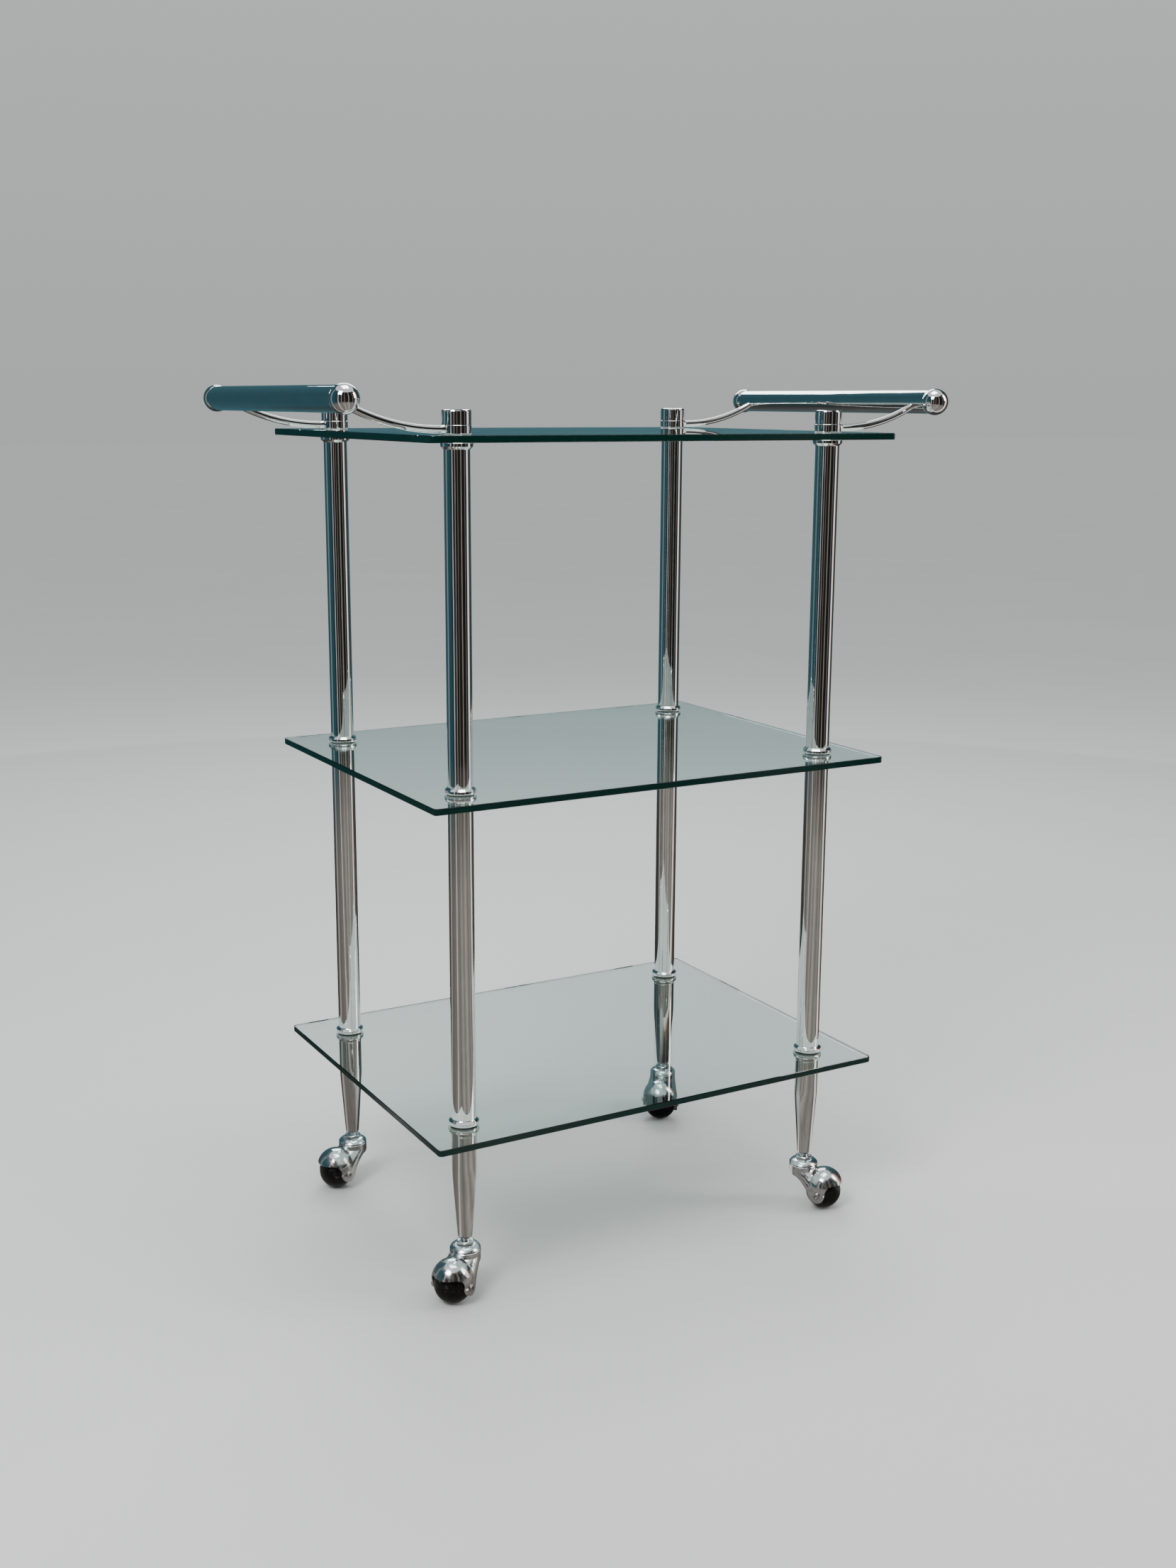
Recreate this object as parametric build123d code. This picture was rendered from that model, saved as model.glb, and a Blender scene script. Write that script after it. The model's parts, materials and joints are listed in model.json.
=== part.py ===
from build123d import *
import math
import os

# Glass shelf trolley: three glass shelves on four chrome legs, a bar handle at each end, four hooded
# ball casters. Frame: origin on the floor under the middle, +X to the right handle, +Y to the back.

# Shelves
SHELF_LENGTH, SHELF_DEPTH, GLASS = 470.0, 360.0, 6.0
SHELF_CORNER, GLASS_ARRIS = 4.0, 0.6
BOTTOM_SHELF_TOP, SHELF_PITCH = 163.0, 303.0
SHELF_TOPS = {"bottom": BOTTOM_SHELF_TOP, "middle": BOTTOM_SHELF_TOP + SHELF_PITCH,
              "top": BOTTOM_SHELF_TOP + 2 * SHELF_PITCH}
LEG_INSET = 45.0
LEG_X, LEG_Y = SHELF_LENGTH / 2 - LEG_INSET, SHELF_DEPTH / 2 - LEG_INSET
LEGS = {"front_left": (-LEG_X, -LEG_Y), "front_right": (LEG_X, -LEG_Y),
        "back_left": (-LEG_X, LEG_Y), "back_right": (LEG_X, LEG_Y)}
GLASS_HOLE = 10.0

# Legs
TUBE, TUBE_WALL = 22.2, 1.2
WASHER, WASHER_BORE = 0.6, 8.0
RING_WIDE, RING_NARROW, RING_HEIGHT, RING_LIP = 27.5, 23.2, 5.6, 1.4
STUD, PLUG_LENGTH = 8.0, 14.0
STUD_REACH = 12.0

# Feet
FOOT_TIP, FOOT_END, FOOT_TAPER_TOP = 13.4, 53.0, 116.0

# Top fittings and handles
COLLAR, COLLAR_HEIGHT = 25.0, 6.9
CAP, CAP_HEIGHT, CAP_ROOF = 24.7, 12.6, 3.0
ROD, ROD_ARC, ROD_RISE_RUN = 6.4, 180.0, 82.5
ROD_START, ROD_AXIS_UP = 16.0, COLLAR_HEIGHT / 2
BOSS, BOSS_FLAT = 8.6, 0.12
BAR, BAR_X, BAR_UP = 22.0, 297.2, 28.0
BAR_HALF = 152.0
KNOB, KNOB_AT = 24.5, 158.0

# Casters. Beside the leg axis: u runs along the trail, v along the axle.
BALL, BALL_HALF_WIDTH = 17.5, 17.0
TRAIL = 22.3
DOME, DOME_WALL, DOME_U, DOME_Z = 19.2, 0.9, 23.2, 22.4
EAR_HALF, EAR_INNER, EAR_LOBE = 19.2, 17.6, 7.8
BALL_ROOM = 0.6
EAR_SWEEP = 30.0
COLLAR_R, COLLAR_LOW, HORN_TOP, HORN_FOOT, HORN_EDGE = 14.2, 37.2, 42.2, 20.0, 0.8
SPINDLE, SPINDLE_BORE = 8.0, 8.1
HEAD, HEAD_TOP, HEAD_BOTTOM = 9.6, 36.4, 34.2
COVER, COVER_RIM, COVER_TOP, COVER_NECK = 14.2, 43.0, 47.2, 8.4
HEX_ACROSS, HEX_TOP = 15.0, 50.4
AXLE, RIVET, AXLE_HALF, RIVET_RIM = 5.0, 6.4, 20.8, 1.6
BUSH_OUT, BUSH_BORE = 9.0, 5.1
SWIVEL_AT_REST = {"front_left": -146.0, "front_right": -58.0, "back_left": -161.0, "back_right": -128.0}

os.makedirs("parts", exist_ok=True)


def save(name, *solids):
    shape = solids[0] if len(solids) == 1 else Compound(children=list(solids))
    shape.label = name
    export_step(shape, f"parts/{name}.step")


def at(shape, x, y, z=0.0):
    return Pos(x, y, z) * shape


def cylinder(diameter, low, high):
    return extrude(Plane.XY.offset(low) * Circle(diameter / 2), high - low)


def tube(outer, inner, low, high):
    return cylinder(outer, low, high) - cylinder(inner, low, high)


def turned(points):
    """A solid turned about Z from an outline of (radius, height) points, closed on itself."""
    return revolve(Plane.XZ * make_face(Polyline(*points, close=True)), Axis.Z)


def on_legs(shape):
    return [at(shape, x, y) for x, y in LEGS.values()]


def shelf(top):
    outline = RectangleRounded(SHELF_LENGTH, SHELF_DEPTH, SHELF_CORNER)
    sheet = extrude(Plane.XY.offset(top - GLASS) * outline, GLASS)
    rims = sheet.faces().sort_by(Axis.Z)
    sheet = chamfer(rims[0].edges() + rims[-1].edges(), GLASS_ARRIS)
    for x, y in LEGS.values():
        sheet -= at(cylinder(GLASS_HOLE, top - GLASS, top), x, y)
    return sheet


def flange_ring(glass_face, up):
    """Clamp ring, widest by the glass, bevelled down to the tube."""
    wide, narrow, bore = RING_WIDE / 2, RING_NARROW / 2, STUD / 2
    belly = (wide + narrow) / 2 + 0.9
    outline = [(bore, WASHER), (wide - 0.5, WASHER), (wide, WASHER + 0.5), (wide, WASHER + RING_LIP),
               (belly, WASHER + RING_LIP + 1.9), (narrow, WASHER + RING_HEIGHT - 0.5),
               (narrow - 0.4, WASHER + RING_HEIGHT), (bore, WASHER + RING_HEIGHT)]
    return turned([(r, glass_face + (h if up else -h)) for r, h in outline])


def washer(glass_face, up):
    low = glass_face if up else glass_face - WASHER
    return tube(RING_NARROW + 1.0, WASHER_BORE, low, low + WASHER)


def plugged(tube_low, tube_high):
    """Threaded plugs in both ends of a leg tube, each bored for its stud."""
    bore = TUBE - 2 * TUBE_WALL
    return [tube(bore, STUD, tube_low, tube_low + PLUG_LENGTH),
            tube(bore, STUD, tube_high - PLUG_LENGTH, tube_high)]


def make_frame():
    ring_depth = WASHER + RING_HEIGHT
    for level, top in SHELF_TOPS.items():
        under = top - GLASS
        save(f"{level}_shelf", shelf(top))
        save(f"{level}_rings_under", *on_legs(flange_ring(under, False)))
        washers = on_legs(washer(top, True)) + on_legs(washer(under, False))
        save(f"{level}_washers", *washers)
        if level != "top":
            save(f"{level}_rings_over", *on_legs(flange_ring(top, True)))
        over = WASHER + COLLAR_HEIGHT + CAP_HEIGHT - CAP_ROOF if level == "top" else ring_depth + STUD_REACH
        save(f"{level}_studs", *on_legs(cylinder(STUD, under - ring_depth - STUD_REACH, top + over)))
    for lower, upper, name in (("bottom", "middle", "lower"), ("middle", "top", "upper")):
        low = SHELF_TOPS[lower] + ring_depth
        high = SHELF_TOPS[upper] - GLASS - ring_depth
        for leg, (x, y) in LEGS.items():
            save(f"{name}_tube_{leg}", at(tube(TUBE, TUBE - 2 * TUBE_WALL, low, high), x, y))
        plugs = [at(plug, x, y) for plug in plugged(low, high) for x, y in LEGS.values()]
        save(f"{name}_tube_plugs", *plugs)


def foot():
    top = BOTTOM_SHELF_TOP - GLASS - WASHER - RING_HEIGHT
    wide, tip = TUBE / 2, FOOT_TIP / 2
    body = turned([(0, FOOT_END), (tip - 1.6, FOOT_END), (tip - 0.5, FOOT_END + 0.6), (tip, FOOT_END + 2.0),
                   (wide - 0.38, FOOT_TAPER_TOP - 5), (wide - 0.2, FOOT_TAPER_TOP - 1.6),
                   (wide - 0.06, FOOT_TAPER_TOP + 1.6), (wide, FOOT_TAPER_TOP + 5), (wide, top), (0, top)])
    body -= cylinder(STUD, top - STUD_REACH, top)
    return body - cylinder(SPINDLE, FOOT_END, FOOT_END + STUD_REACH)


def cap_nut():
    low = SHELF_TOPS["top"] + WASHER + COLLAR_HEIGHT
    r, high = CAP / 2, low + CAP_HEIGHT
    body = turned([(0, low), (r - 0.4, low), (r, low + 0.4), (r, high - 1.4), (r - 0.45, high - 0.4),
                   (r - 1.5, high), (0, high)])
    return body - cylinder(STUD, low, high - CAP_ROOF)


def bracket(side, x, y):
    """Collar round the stud, and the rod that runs outwards and curves up to the handle bar."""
    low = SHELF_TOPS["top"] + WASHER
    r = COLLAR / 2
    collar = turned([(STUD / 2, low), (r - 0.3, low), (r, low + 0.3), (r, low + COLLAR_HEIGHT - 0.3),
                     (r - 0.3, low + COLLAR_HEIGHT), (STUD / 2, low + COLLAR_HEIGHT)])
    z = low + ROD_AXIS_UP
    turn = math.degrees(math.asin(ROD_RISE_RUN / ROD_ARC))
    route = Line((STUD / 2 + 2, z), (ROD_START, z))
    route += CenterArc((ROD_START, z + ROD_ARC), ROD_ARC, -90, turn)
    path = Plane.XZ * route
    rod = sweep(Plane.YZ.offset(STUD / 2 + 2) * Pos(0, z) * Circle(ROD / 2), path)
    boss = Pos(r + 0.8, 0, z) * Rot(0, 90, 0) * Cone(BOSS / 2, ROD / 2 + 0.06, 3.6)
    boss = boss & cylinder(2 * COLLAR, low + BOSS_FLAT, low + COLLAR_HEIGHT - BOSS_FLAT)
    one = collar + rod + boss
    if side < 0:
        one = Rot(0, 0, 180) * one
    return at(one, x, y)


def rod_end(side, y):
    """Where a bracket rod meets its bar."""
    turn = math.asin(ROD_RISE_RUN / ROD_ARC)
    z = SHELF_TOPS["top"] + WASHER + ROD_AXIS_UP + ROD_ARC * (1 - math.cos(turn))
    return Pos(side * (LEG_X + ROD_START + ROD_RISE_RUN), y, z) * Rot(0, side * (90 - math.degrees(turn)), 0)


def handle_bar(side):
    z = SHELF_TOPS["top"] + BAR_UP
    across = Pos(side * BAR_X, 0, z) * Rot(90, 0, 0)
    bar = across * Cylinder(BAR / 2, 2 * BAR_HALF)
    bar -= across * Cylinder(BAR / 2 - TUBE_WALL, 2 * BAR_HALF)
    for y in (-LEG_Y, LEG_Y):
        bar -= rod_end(side, y) * Pos(0, 0, -10) * Cylinder(ROD / 2, 20)
    return bar


def knob(side, end):
    """Ball end with a spigot in the bar."""
    z = SHELF_TOPS["top"] + BAR_UP
    ball = Sphere(KNOB / 2)
    seat = Rot(90, 0, 0) * Cylinder(BAR / 2, KNOB)
    shoulder = KNOB_AT - BAR_HALF
    ball -= Pos(0, shoulder + KNOB / 2, 0) * seat
    ball += Pos(0, shoulder + 4, 0) * Rot(90, 0, 0) * Cylinder(BAR / 2 - TUBE_WALL, 12)
    if end > 0:
        ball = Rot(0, 0, 180) * ball
    return Pos(side * BAR_X, end * KNOB_AT, z) * ball


def make_top():
    save("cap_nuts", *on_legs(cap_nut()))
    for leg, (x, y) in LEGS.items():
        side = 1 if x > 0 else -1
        save(f"bracket_{leg}", bracket(side, x, y))
        save(f"foot_{leg}", at(foot(), x, y))
    for name, side in (("left", -1), ("right", 1)):
        save(f"handle_bar_{name}", handle_bar(side))
        for place, end in (("front", -1), ("back", 1)):
            save(f"knob_{place}_{name}", knob(side, end))


def stem():
    """Threaded stem, hexagon, spindle and peened head, all one turned piece."""
    body = cylinder(SPINDLE, HEAD_TOP, FOOT_END + STUD_REACH)
    body += cylinder(HEAD, HEAD_BOTTOM, HEAD_TOP)
    hexagon = Plane.XY.offset(COVER_TOP) * RegularPolygon(HEX_ACROSS / 2, 6, major_radius=False)
    bevel = turned([(0, COVER_TOP), (HEX_ACROSS, COVER_TOP), (HEX_ACROSS * 0.62, HEX_TOP - 1.4),
                    (HEX_ACROSS * 0.47, HEX_TOP), (0, HEX_TOP)])
    return body + (extrude(hexagon, HEX_TOP - COVER_TOP) & bevel)


def domed_cover():
    """Sheet cover between the hexagon and the turning collar, rounded down to its rim."""
    skirt = Polyline((COVER_NECK, COVER_TOP), (SPINDLE / 2, COVER_TOP), (SPINDLE / 2, COVER_RIM - 0.5),
                     (COVER - 0.8, COVER_RIM - 0.5), (COVER, COVER_RIM), (COVER, COVER_RIM + 0.5))
    crown = Spline((COVER, COVER_RIM + 0.5), (COVER - 1.6, COVER_RIM + 2.4), (COVER_NECK, COVER_TOP))
    return revolve(Plane.XZ * make_face(skirt + crown), Axis.Z)


def side_outline(front):
    """Side view, u across and height up: ear lobe, rear of the arm, collar, then the front edge given."""
    left, right = (TRAIL - EAR_LOBE - 2.2, BALL), (TRAIL + EAR_LOBE, BALL)
    rear = Spline(left, (10.6, 20.6), (7.6, 23.9), (4.3, 27.2), (0.8, 29.8), (-3.2, 31.6), (-8.0, 32.8),
                  (-11.6, 34.8), (-COLLAR_R - 0.5, 38.0))
    over = Polyline((-COLLAR_R - 0.5, 38.0), (-COLLAR_R - 0.5, HORN_TOP), front[0])
    return make_face(rear + over + Spline(*front, right) + ThreePointArc(right, (TRAIL, BALL - EAR_LOBE), left))


def hood():
    """Cast hood: a dome with a visor, carried by a collar and an arm that wraps round it to two axle ears."""
    brow = [(DOME_U + DOME + 1, HORN_TOP), (DOME_U + DOME + 1, 27.4), (38.6, 28.5), (34.6, 28.0), (31.8, 25.2)]
    strap = [(15.5, HORN_TOP), (16.0, 37.0), (18.4, 32.0), (22.0, 28.6), (26.0, 26.0), (29.2, 22.2)]
    dome = Pos(DOME_U, 0, DOME_Z) * Sphere(DOME)
    dome = dome & extrude(Plane.XZ * side_outline(brow), DOME + 1, both=True)
    ears = Pos(TRAIL, 0, BALL) * Ellipse(EAR_SWEEP, EAR_HALF)
    collar = turned([(0, HORN_FOOT), (COLLAR_R, HORN_FOOT), (COLLAR_R, HORN_TOP - HORN_EDGE),
                     (COLLAR_R - HORN_EDGE, HORN_TOP), (0, HORN_TOP)])
    arm = loft([ears.face(), (Pos(0, 0, COLLAR_LOW) * Circle(COLLAR_R - 0.2)).face()])
    arm = arm + extrude(ears, -EAR_LOBE) + collar
    arm = arm & extrude(Plane.XZ * side_outline(strap), EAR_HALF + 1, both=True)
    hollow = Pos(DOME_U, 0, DOME_Z) * Sphere(DOME - DOME_WALL) + Pos(TRAIL, 0, BALL) * Sphere(BALL + BALL_ROOM)
    hollow = hollow & Pos(TRAIL, 0, 0) * Box(8 * DOME, 2 * EAR_INNER, 8 * DOME)
    body = dome + arm - hollow
    body -= cylinder(SPINDLE_BORE, 0, HORN_TOP)
    body -= cylinder(HEAD + 0.8, 0, HEAD_TOP + 0.3)
    return body - Pos(TRAIL, 0, BALL) * Rot(90, 0, 0) * Cylinder(AXLE / 2, 4 * EAR_HALF)


def axle():
    """Axle pin peened over both ears, with a dimple in each rivet head."""
    body = Cylinder(AXLE / 2, 2 * AXLE_HALF)
    for end in (-1, 1):
        head = Pos(0, 0, end * (EAR_HALF + AXLE_HALF) / 2) * Cylinder(RIVET / 2, AXLE_HALF - EAR_HALF)
        body += fillet(head.edges().filter_by(GeomType.CIRCLE).sort_by(lambda e: -end * e.center().Z)[0], 0.6)
        body -= Pos(0, 0, end * AXLE_HALF) * Cylinder(RIVET / 2 - RIVET_RIM, 2.4)
    return Pos(TRAIL, 0, BALL) * Rot(90, 0, 0) * body


def ball_wheel():
    ball = Sphere(BALL) & Box(3 * BALL, 3 * BALL, 2 * BALL_HALF_WIDTH)
    ball -= Cylinder(BUSH_OUT / 2, 3 * BALL)
    return Pos(TRAIL, 0, BALL) * Rot(90, 0, 0) * ball


def bush():
    sleeve = Cylinder(BUSH_OUT / 2, 2 * BALL_HALF_WIDTH + 0.4) - Cylinder(BUSH_BORE / 2, 3 * BALL)
    return Pos(TRAIL, 0, BALL) * Rot(90, 0, 0) * sleeve


def make_casters():
    moving = {"caster_hood": hood(), "caster_axle": axle(), "caster_ball": ball_wheel(), "caster_bush": bush()}
    for leg, (x, y) in LEGS.items():
        turn = Rot(0, 0, SWIVEL_AT_REST[leg])
        save(f"caster_stem_{leg}", at(stem(), x, y))
        for name, piece in moving.items():
            save(f"{name}_{leg}", at(turn * piece, x, y))
    save("caster_covers", *on_legs(domed_cover()))


make_frame()
make_top()
make_casters()
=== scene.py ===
import json
import math

import bpy
from mathutils import Matrix, Vector

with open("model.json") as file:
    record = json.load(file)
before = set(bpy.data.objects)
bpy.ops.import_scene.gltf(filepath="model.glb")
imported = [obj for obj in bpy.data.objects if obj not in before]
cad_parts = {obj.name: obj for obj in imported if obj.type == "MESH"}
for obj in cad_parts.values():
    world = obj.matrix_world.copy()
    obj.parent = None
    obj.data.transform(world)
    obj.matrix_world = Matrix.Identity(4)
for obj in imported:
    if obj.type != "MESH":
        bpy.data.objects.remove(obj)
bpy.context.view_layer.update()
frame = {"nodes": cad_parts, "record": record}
nodes = frame["nodes"]

# ---------------------------------------------------------------- camera

CAMERA_AT = Vector((-0.8249, -1.4727, 0.7969))
CAMERA_YAW, CAMERA_DOWN, CAMERA_ROLL = (math.radians(a) for a in (29.636, 12.300, -0.298))
LENS = 40.405

WORLD_POWER = 0.85
FLOOR_SIZE, FLOOR_DROP = 60.0, 0.0002

# A ring of glowing studio sheets that only mirror reflections see, a painted reflection that lights
# nothing: low ones lie on the floor from CARD_NEAR, tall ones stand at CARD_FAR. They fade in at the
# middle and out at the top, at so much per metre.
CARD_NEAR, CARD_FAR, CARD_HIGH = 0.03, 2.6, 3.7
CARD_LIFT, CARD_TILT = 0.004, 0.002
CARD_FADE_IN, CARD_FADE_OUT = 9.0, 2.0
LOW_PAINTED_REFLECTION_GLOW = 1.5
LOW_TO_TALL = (0.55, 0.98)

# A band is (share of a turn, grey or colour) of painted reflection glow. The turn starts at -X and goes
# by -Y, +X and +Y.
PAINTED_WALL_REFLECTION_BANDS = (
    (0.0, (0.02, 0.06, 0.08)), (0.05, 0.03), (0.06, 0.8), (0.072, 0.05), (0.11, 0.015), (0.125, 0.35),
    (0.132, 0.02), (0.165, 0.01), (0.18, (0.2, 0.16, 0.12)), (0.19, 0.015), (0.245, 0.02),
    (0.26, (0.4, 0.34, 0.27)), (0.272, 0.015), (0.335, 0.012), (0.35, 0.2), (0.362, 0.015), (0.40, 0.03),
    (0.42, 1.2), (0.45, 1.2), (0.46, (0.45, 0.2, 0.09)), (0.475, (0.3, 0.12, 0.05)), (0.49, 0.03),
    (0.55, (0.02, 0.06, 0.07)), (0.63, (0.07, 0.17, 0.2)), (0.72, (0.05, 0.13, 0.16)),
    (0.82, (0.03, 0.08, 0.1)), (0.87, (0.04, 0.1, 0.12)), (0.9, 0.3), (0.93, (0.02, 0.08, 0.1)))
# Painted reflection of the floor and room, glowing on the low ring.
PAINTED_FLOOR_REFLECTION_BANDS = (
    (0.0, (0.13, 0.12, 0.11)), (0.05, (0.15, 0.14, 0.13)), (0.062, (0.52, 0.5, 0.47)),
    (0.08, (0.2, 0.185, 0.17)), (0.12, (0.13, 0.12, 0.108)), (0.168, (0.27, 0.25, 0.228)),
    (0.2, (0.16, 0.146, 0.13)), (0.25, (0.3, 0.275, 0.25)), (0.3, (0.15, 0.14, 0.125)),
    (0.36, (0.22, 0.205, 0.19)), (0.4, (0.1, 0.094, 0.088)), (0.42, (0.75, 0.73, 0.7)),
    (0.445, (0.75, 0.73, 0.7)), (0.465, (0.22, 0.13, 0.08)), (0.49, (0.07, 0.06, 0.055)),
    (0.55, 0.025), (0.668, (0.07, 0.075, 0.075)), (0.8, 0.025), (0.88, (0.07, 0.066, 0.06)),
    (0.91, (0.34, 0.32, 0.3)), (0.94, (0.12, 0.11, 0.1)))


def make_camera():
    forward = Vector((math.sin(CAMERA_YAW) * math.cos(CAMERA_DOWN),
                      math.cos(CAMERA_YAW) * math.cos(CAMERA_DOWN), -math.sin(CAMERA_DOWN)))
    right = Vector((math.cos(CAMERA_YAW), -math.sin(CAMERA_YAW), 0.0))
    down = forward.cross(right)
    c, s = math.cos(CAMERA_ROLL), math.sin(CAMERA_ROLL)
    right, down = right * c + down * s, down * c - right * s
    data = bpy.data.cameras.new("camera")
    data.lens = LENS
    data.sensor_width = 36.0
    data.clip_end = 50.0
    camera = bpy.data.objects.new("camera", data)
    bpy.context.scene.collection.objects.link(camera)
    turn = Matrix((right, -down, -forward)).transposed()
    camera.matrix_world = Matrix.Translation(CAMERA_AT) @ turn.to_4x4()
    bpy.context.scene.camera = camera


# ---------------------------------------------------------------- material helpers

class Build:
    """A material with its Principled shader, and short ways to add nodes to it."""

    def __init__(self, name, colour=(0.8, 0.8, 0.8), rough=0.5, metal=0.0):
        self.material = bpy.data.materials.new(name)
        self.material.use_nodes = True
        self.tree = self.material.node_tree
        self.shader = self.tree.nodes["Principled BSDF"]
        self.out = self.tree.nodes["Material Output"]
        self.shader.inputs["Base Color"].default_value = (*colour, 1.0)
        self.shader.inputs["Roughness"].default_value = rough
        self.shader.inputs["Metallic"].default_value = metal

    def link(self, source, target):
        self.tree.links.new(source, self.shader.inputs[target] if isinstance(target, str) else target)

    def place(self, stretch=(1.0, 1.0, 1.0)):
        """Object coordinates in metres, stretched on each axis."""
        coords = self.tree.nodes.new("ShaderNodeTexCoord")
        mapping = self.tree.nodes.new("ShaderNodeMapping")
        mapping.inputs["Scale"].default_value = stretch
        self.link(coords.outputs["Object"], mapping.inputs["Vector"])
        return mapping.outputs["Vector"]

    def noise(self, where, scale, detail=3.0, rough=0.55, twist=0.0):
        node = self.tree.nodes.new("ShaderNodeTexNoise")
        node.inputs["Scale"].default_value = scale
        node.inputs["Detail"].default_value = detail
        node.inputs["Roughness"].default_value = rough
        node.inputs["Distortion"].default_value = twist
        self.link(where, node.inputs["Vector"])
        return node.outputs["Fac"]

    def cells(self, where, scale):
        node = self.tree.nodes.new("ShaderNodeTexVoronoi")
        node.inputs["Scale"].default_value = scale
        self.link(where, node.inputs["Vector"])
        return node.outputs["Distance"]

    def ramp(self, value, *stops):
        """Colours by value; a stop is (place, colour) or (place, grey)."""
        node = self.tree.nodes.new("ShaderNodeValToRGB")
        band = node.color_ramp
        while len(band.elements) < len(stops):
            band.elements.new(0.5)
        for element, (spot, colour) in zip(band.elements, stops):
            element.position = spot
            element.color = (*colour, 1.0) if isinstance(colour, tuple) else (colour, colour, colour, 1.0)
        self.link(value, node.inputs["Fac"])
        return node.outputs["Color"]

    def maths(self, kind, a, b):
        node = self.tree.nodes.new("ShaderNodeMath")
        node.operation = kind
        for socket, value in zip(node.inputs, (a, b)):
            if isinstance(value, (int, float)):
                socket.default_value = value
            else:
                self.link(value, socket)
        return node.outputs["Value"]

    def bump(self, height, strength, distance, under=None):
        node = self.tree.nodes.new("ShaderNodeBump")
        node.inputs["Strength"].default_value = strength
        node.inputs["Distance"].default_value = distance
        self.link(height, node.inputs["Height"])
        if under is not None:
            self.link(under, node.inputs["Normal"])
        self.link(node.outputs["Normal"], "Normal")
        return node.outputs["Normal"]


# ---------------------------------------------------------------- materials

def chrome(name, grain_and_reflection_mottle=(1.0, 1.0, 0.03), tone=0.86, drawn=0.06):
    """Mirror chrome: faint drawing lines along the tube, soft finger marks, a few dull specks."""
    m = Build(name, rough=0.06, metal=1.0)
    place = m.place()
    marks = m.noise(place, 38.0, 5.0, 0.62, 0.8)
    bright, dull = (tone, tone * 0.995, tone * 0.985), (tone * 0.9, tone * 0.915, tone * 0.92)
    m.link(m.ramp(marks, (0.35, bright), (0.75, dull)), "Base Color")
    haze = m.ramp(marks, (0.4, 0.02), (0.62, 0.045), (0.8, 0.13))
    specks = m.ramp(m.cells(place, 420.0), (0.02, 0.25), (0.06, 0.0))
    m.link(m.maths("ADD", haze, specks), "Roughness")
    lines = m.noise(m.place(grain_and_reflection_mottle), 900.0, 2.0)
    ripple = m.noise(place, 24.0, 1.0)
    under = m.bump(ripple, 0.25, 0.0008)
    m.bump(lines, drawn, 0.0002, under)
    return m.material


def cast_chrome():
    """Plated casting: softly wavy surface that breaks up its reflections, cloudy in places."""
    m = Build("hood_plate", rough=0.16, metal=1.0)
    place = m.place()
    dents = m.noise(place, 70.0, 1.5, 0.45, 0.5)
    cloud = m.noise(place, 210.0, 4.0, 0.6, 0.8)
    fine = m.noise(place, 900.0, 3.0)
    m.link(m.ramp(cloud, (0.3, (0.84, 0.85, 0.85)), (0.7, (0.62, 0.64, 0.65))), "Base Color")
    m.link(m.ramp(cloud, (0.3, 0.09), (0.75, 0.3)), "Roughness")
    under = m.bump(dents, 0.5, 0.0022)
    m.bump(fine, 0.08, 0.0002, under)
    return m.material


def zinc():
    """Bright zinc plate on the stems and domed covers, with turning marks."""
    m = Build("zinc_plate", rough=0.2, metal=1.0)
    place = m.place()
    cloud = m.noise(place, 260.0, 4.0)
    m.link(m.ramp(cloud, (0.3, (0.78, 0.83, 0.84)), (0.7, (0.62, 0.67, 0.68))), "Base Color")
    m.link(m.ramp(cloud, (0.3, 0.12), (0.8, 0.34)), "Roughness")
    m.bump(m.noise(m.place((1.0, 1.0, 12.0)), 420.0, 2.0), 0.12, 0.0002)
    return m.material


def plain_steel():
    m = Build("plain_steel", rough=0.3, metal=1.0)
    place = m.place()
    cloud = m.noise(place, 300.0, 4.0)
    m.link(m.ramp(cloud, (0.3, (0.62, 0.61, 0.6)), (0.7, (0.46, 0.45, 0.44))), "Base Color")
    m.link(m.ramp(cloud, (0.2, 0.22), (0.8, 0.45)), "Roughness")
    m.bump(cloud, 0.15, 0.0002)
    return m.material


def ball_black():
    """Hard black tread, rubbed grey in streaks round the ball where it has rolled."""
    m = Build("ball_black", rough=0.5)
    place = m.place()
    scuff = m.noise(place, 190.0, 6.0, 0.7, 1.5)
    streaks = m.noise(m.place((1.0, 0.12, 1.0)), 420.0, 4.0, 0.65, 0.6)
    worn = m.maths("MULTIPLY", scuff, streaks)
    m.link(m.ramp(worn, (0.27, 0.003), (0.34, 0.014), (0.44, (0.1, 0.096, 0.092))), "Base Color")
    m.link(m.ramp(worn, (0.15, 0.26), (0.45, 0.6)), "Roughness")
    m.shader.inputs["Specular IOR Level"].default_value = 0.3
    under = m.bump(scuff, 0.2, 0.0004)
    m.bump(m.noise(place, 1500.0, 2.0), 0.1, 0.0001, under)
    return m.material


def nylon():
    m = Build("nylon", rough=0.45)
    place = m.place()
    cloud = m.noise(place, 200.0)
    m.link(m.ramp(cloud, (0.3, (0.78, 0.77, 0.72)), (0.7, (0.7, 0.69, 0.64))), "Base Color")
    m.link(m.ramp(cloud, (0.3, 0.38), (0.7, 0.55)), "Roughness")
    m.bump(cloud, 0.1, 0.0002)
    return m.material


def washer_plastic():
    """Soft clear washer, greyed where it is squeezed."""
    m = Build("washer_plastic", rough=0.35)
    place = m.place()
    cloud = m.noise(place, 240.0, 4.0)
    m.link(m.ramp(cloud, (0.3, (0.34, 0.38, 0.37)), (0.7, (0.2, 0.23, 0.22))), "Base Color")
    m.link(m.ramp(cloud, (0.3, 0.25), (0.7, 0.5)), "Roughness")
    m.bump(cloud, 0.1, 0.0002)
    m.shader.inputs["IOR"].default_value = 1.45
    return m.material


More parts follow.
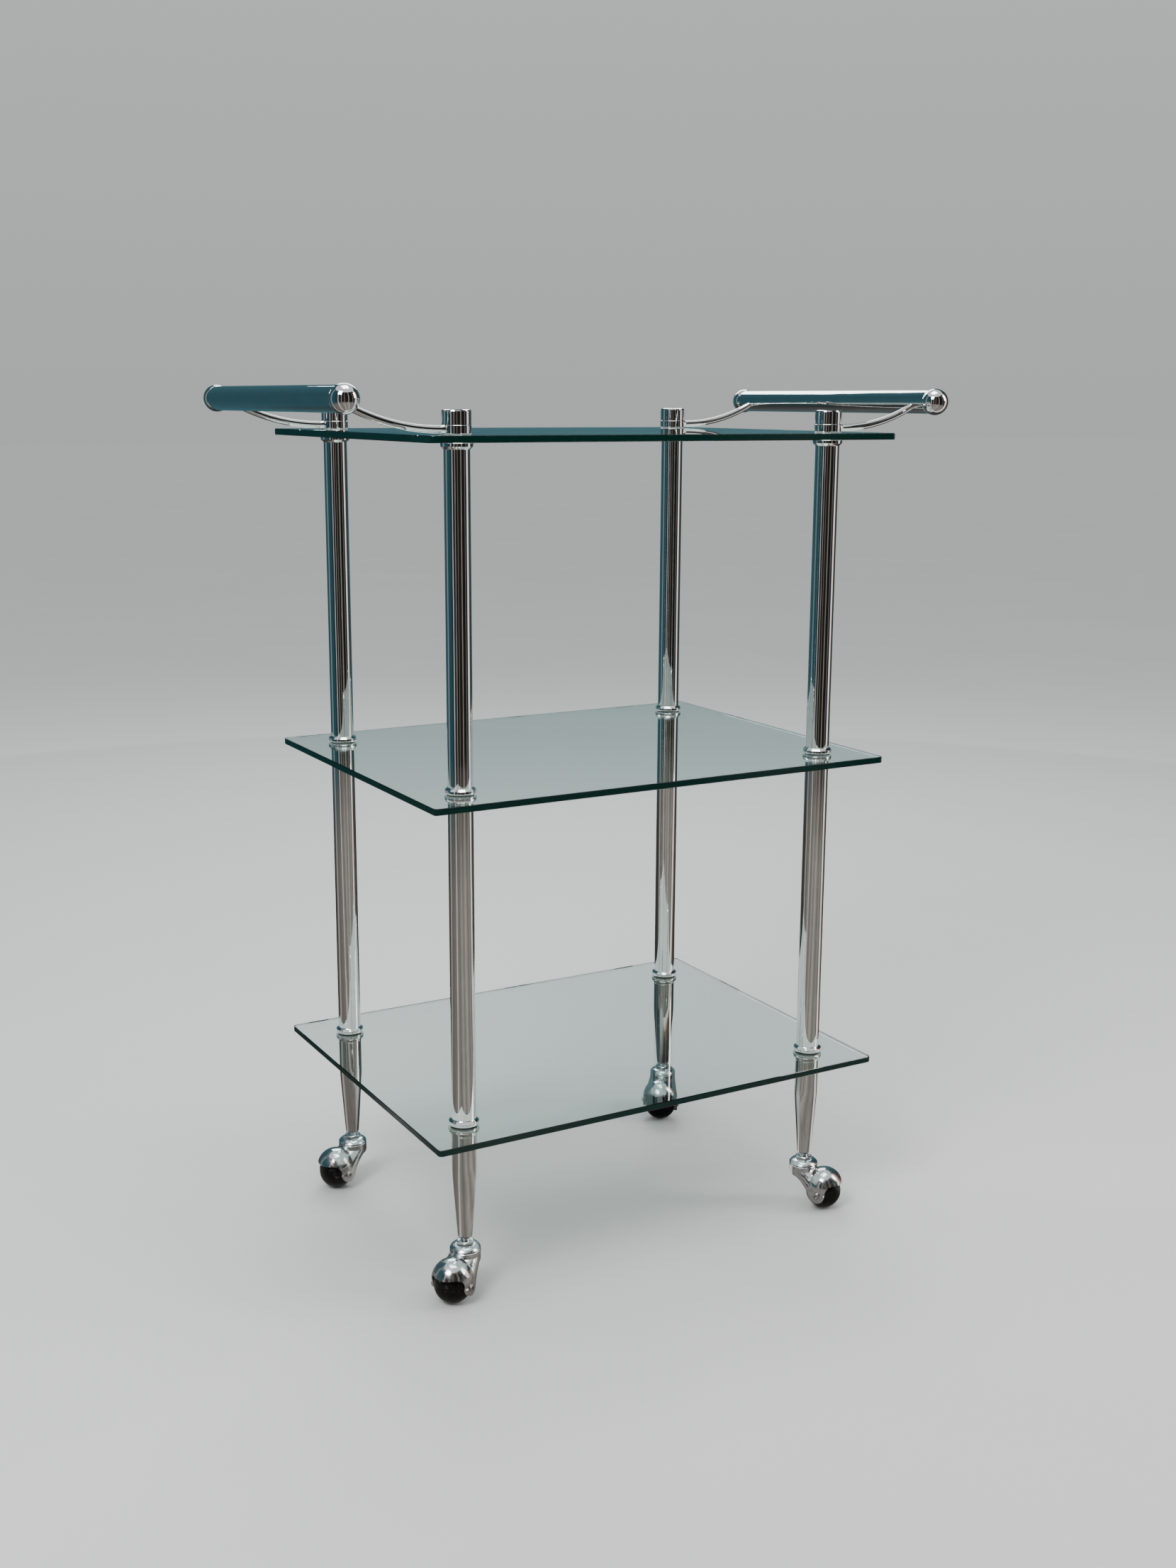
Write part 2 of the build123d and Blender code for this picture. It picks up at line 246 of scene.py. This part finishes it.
def shelf_glass():
    """Float glass: clear through its thickness, deep green at its polished edges, faint wiping marks."""
    m = Build("shelf_glass")
    coords = m.tree.nodes.new("ShaderNodeTexCoord")
    split = m.tree.nodes.new("ShaderNodeSeparateXYZ")
    m.link(coords.outputs["Normal"], split.inputs["Vector"])
    flat = m.maths("ABSOLUTE", split.outputs["Z"], 0.0)
    m.link(m.ramp(flat, (0.45, (0.004, 0.045, 0.036)), (0.62, (0.985, 1.0, 0.992))), "Base Color")
    m.link(m.ramp(flat, (0.45, 0.62), (0.62, 1.0)), "Transmission Weight")
    m.shader.inputs["IOR"].default_value = 1.52
    place = m.place()
    wipes = m.noise(m.place((1.0, 3.0, 1.0)), 7.0, 6.0, 0.6, 2.5)
    dust = m.cells(place, 260.0)
    haze = m.ramp(wipes, (0.5, 0.0), (0.72, 0.035), (0.9, 0.09))
    specks = m.ramp(dust, (0.015, 0.22), (0.05, 0.0))
    m.link(m.maths("ADD", haze, specks), "Roughness")
    m.bump(m.noise(place, 3.5, 1.0), 0.02, 0.002)
    volume = m.tree.nodes.new("ShaderNodeVolumeAbsorption")
    volume.inputs["Color"].default_value = (0.12, 0.78, 0.6, 1.0)
    volume.inputs["Density"].default_value = 19.0
    m.link(volume.outputs["Volume"], m.out.inputs["Volume"])
    return m.material


def finish_nodes():
    """Each CAD node takes the material of its record slot."""
    looks = {"glass": shelf_glass(), "chrome": chrome("chrome"),
             "foot_chrome": chrome("foot_chrome", tone=0.84, drawn=0.14), "hood": cast_chrome(),
             "zinc": zinc(), "steel": plain_steel(), "ball": ball_black(), "bush": nylon(),
             "washer": washer_plastic()}
    across = chrome("bar_chrome", (1.0, 0.03, 1.0))
    for part in frame["record"]["subparts"]:
        look = looks[part["material_slot"]]
        if part["node"].startswith("handle_bar"):
            look = across
        for slot in nodes[part["node"]].material_slots:
            slot.material = look


# ---------------------------------------------------------------- studio

def make_floor():
    """A plain pale floor just under the balls."""
    m = Build("floor", rough=0.55)
    cloud = m.noise(m.place(), 2.2, 5.0)
    m.link(m.ramp(cloud, (0.3, (0.66, 0.66, 0.65)), (0.7, (0.64, 0.64, 0.632))), "Base Color")
    m.link(m.ramp(cloud, (0.3, 0.6), (0.7, 0.66)), "Roughness")
    bpy.ops.mesh.primitive_plane_add(size=FLOOR_SIZE, location=(0.0, 0.0, -FLOOR_DROP))
    floor = bpy.context.object
    floor.name = "floor"
    floor.data.materials.append(m.material)


def soft_box(name, at, size, power, colour=(1.0, 1.0, 1.0), look=(0.0, 0.0, 0.45)):
    data = bpy.data.lights.new(name, "AREA")
    data.shape = "RECTANGLE"
    data.size, data.size_y = size
    data.energy = power
    data.color = colour
    light = bpy.data.objects.new(name, data)
    bpy.context.scene.collection.objects.link(light)
    light.location = at
    light.rotation_euler = (Vector(look) - Vector(at)).to_track_quat("-Z", "Y").to_euler()


def make_world():
    """A pale sky that is a little brighter overhead."""
    world = bpy.data.worlds.new("studio")
    world.use_nodes = True
    bpy.context.scene.world = world
    tree = world.node_tree
    coords = tree.nodes.new("ShaderNodeTexCoord")
    split = tree.nodes.new("ShaderNodeSeparateXYZ")
    ramp = tree.nodes.new("ShaderNodeValToRGB")
    low, high = ramp.color_ramp.elements
    low.position, low.color = 0.0, (0.55, 0.562, 0.558, 1.0)
    high.position, high.color = 0.8, (0.9, 0.94, 0.96, 1.0)
    ramp.color_ramp.elements.new(0.25).color = (0.66, 0.69, 0.695, 1.0)
    tree.links.new(coords.outputs["Generated"], split.inputs["Vector"])
    tree.links.new(split.outputs["Z"], ramp.inputs["Fac"])
    tree.links.new(ramp.outputs["Color"], tree.nodes["Background"].inputs["Color"])
    tree.nodes["Background"].inputs["Strength"].default_value = WORLD_POWER


def ring_mesh(name, radii_heights, steps=96):
    """An open surface turned about Z through (radius, height) points."""
    verts = []
    for radius, height in radii_heights:
        for i in range(steps):
            a = 2 * math.pi * i / steps
            verts.append((radius * math.cos(a), radius * math.sin(a), height))
    faces = []
    for low in range(0, (len(radii_heights) - 1) * steps, steps):
        for i in range(steps):
            j = (i + 1) % steps
            faces.append((low + i, low + j, low + steps + j, low + steps + i))
    mesh = bpy.data.meshes.new(name)
    mesh.from_pydata(verts, [], faces)
    piece = bpy.data.objects.new(name, mesh)
    bpy.context.scene.collection.objects.link(piece)
    return piece


def make_painted_reflections():
    """Painted reflection: dark glowing sheets all round with lighter gaps between them, lighting nothing.
    Only mirror reflections see them.
    """
    foot = CARD_LIFT + CARD_TILT
    painted_reflection_cards = ring_mesh("painted_reflection_cards", [(CARD_NEAR, CARD_LIFT), (CARD_FAR, foot), (CARD_FAR, CARD_HIGH)])
    m = Build("painted_reflection_cards")
    add = m.tree.nodes.new
    split, flat = add("ShaderNodeSeparateXYZ"), add("ShaderNodeCombineXYZ")
    reach = add("ShaderNodeVectorMath")
    reach.operation = "LENGTH"
    m.link(m.place(), split.inputs["Vector"])
    x, y, z = split.outputs
    m.link(x, flat.inputs["X"])
    m.link(y, flat.inputs["Y"])
    m.link(flat.outputs["Vector"], reach.inputs[0])
    radius = reach.outputs["Value"]
    turn = m.maths("ADD", m.maths("DIVIDE", m.maths("ARCTAN2", y, x), 2 * math.pi), 0.5)

    # Painted reflection: the bands glow on the low and tall rings and show only in mirror surfaces.
    low_painted_reflection, tall_painted_reflection = add("ShaderNodeEmission"), add("ShaderNodeEmission")
    m.link(m.ramp(turn, *PAINTED_FLOOR_REFLECTION_BANDS), low_painted_reflection.inputs["Color"])
    m.link(m.ramp(turn, *PAINTED_WALL_REFLECTION_BANDS), tall_painted_reflection.inputs["Color"])
    # Random mottling painted into the low ring's reflection glow.
    grain_and_reflection_mottle = m.ramp(m.noise(m.place((1.0, 3.0, 1.0)), 5.0, 5.0, 0.65, 1.2), (0.3, 0.75), (0.7, 1.0))
    m.link(m.maths("MULTIPLY", grain_and_reflection_mottle, LOW_PAINTED_REFLECTION_GLOW), low_painted_reflection.inputs["Strength"])
    glow, mix = add("ShaderNodeMixShader"), add("ShaderNodeMixShader")
    start, end = LOW_TO_TALL
    m.link(m.ramp(m.maths("DIVIDE", radius, CARD_FAR), (start, 0.0), (end, 1.0)), glow.inputs["Fac"])
    m.link(low_painted_reflection.outputs["Emission"], glow.inputs[1])
    m.link(tall_painted_reflection.outputs["Emission"], glow.inputs[2])

    fade_in = m.maths("MULTIPLY", m.maths("SUBTRACT", radius, CARD_NEAR), CARD_FADE_IN)
    fade_out = m.maths("MULTIPLY", m.maths("SUBTRACT", CARD_HIGH, z), CARD_FADE_OUT)
    m.link(m.maths("MINIMUM", m.maths("MINIMUM", fade_in, fade_out), 1.0), mix.inputs["Fac"])
    m.link(add("ShaderNodeBsdfTransparent").outputs["BSDF"], mix.inputs[1])
    m.link(glow.outputs["Shader"], mix.inputs[2])
    m.link(mix.outputs["Shader"], m.out.inputs["Surface"])
    painted_reflection_cards.data.materials.append(m.material)
    painted_reflection_cards.visible_camera = painted_reflection_cards.visible_diffuse = False
    painted_reflection_cards.visible_transmission = painted_reflection_cards.visible_shadow = False


def make_light():
    soft_box("key", (-1.7, -1.0, 2.3), (1.0, 1.0), 46.0)
    soft_box("fill", (2.0, -1.2, 1.6), (0.7, 1.4), 20.0, (1.0, 0.97, 0.93))
    soft_box("rim", (0.9, 2.0, 2.0), (1.6, 0.9), 26.0, (0.95, 0.98, 1.0))
    soft_box("top", (0.0, 0.0, 2.9), (1.2, 1.2), 32.0)


make_camera()
finish_nodes()
make_floor()
make_world()
make_painted_reflections()
make_light()
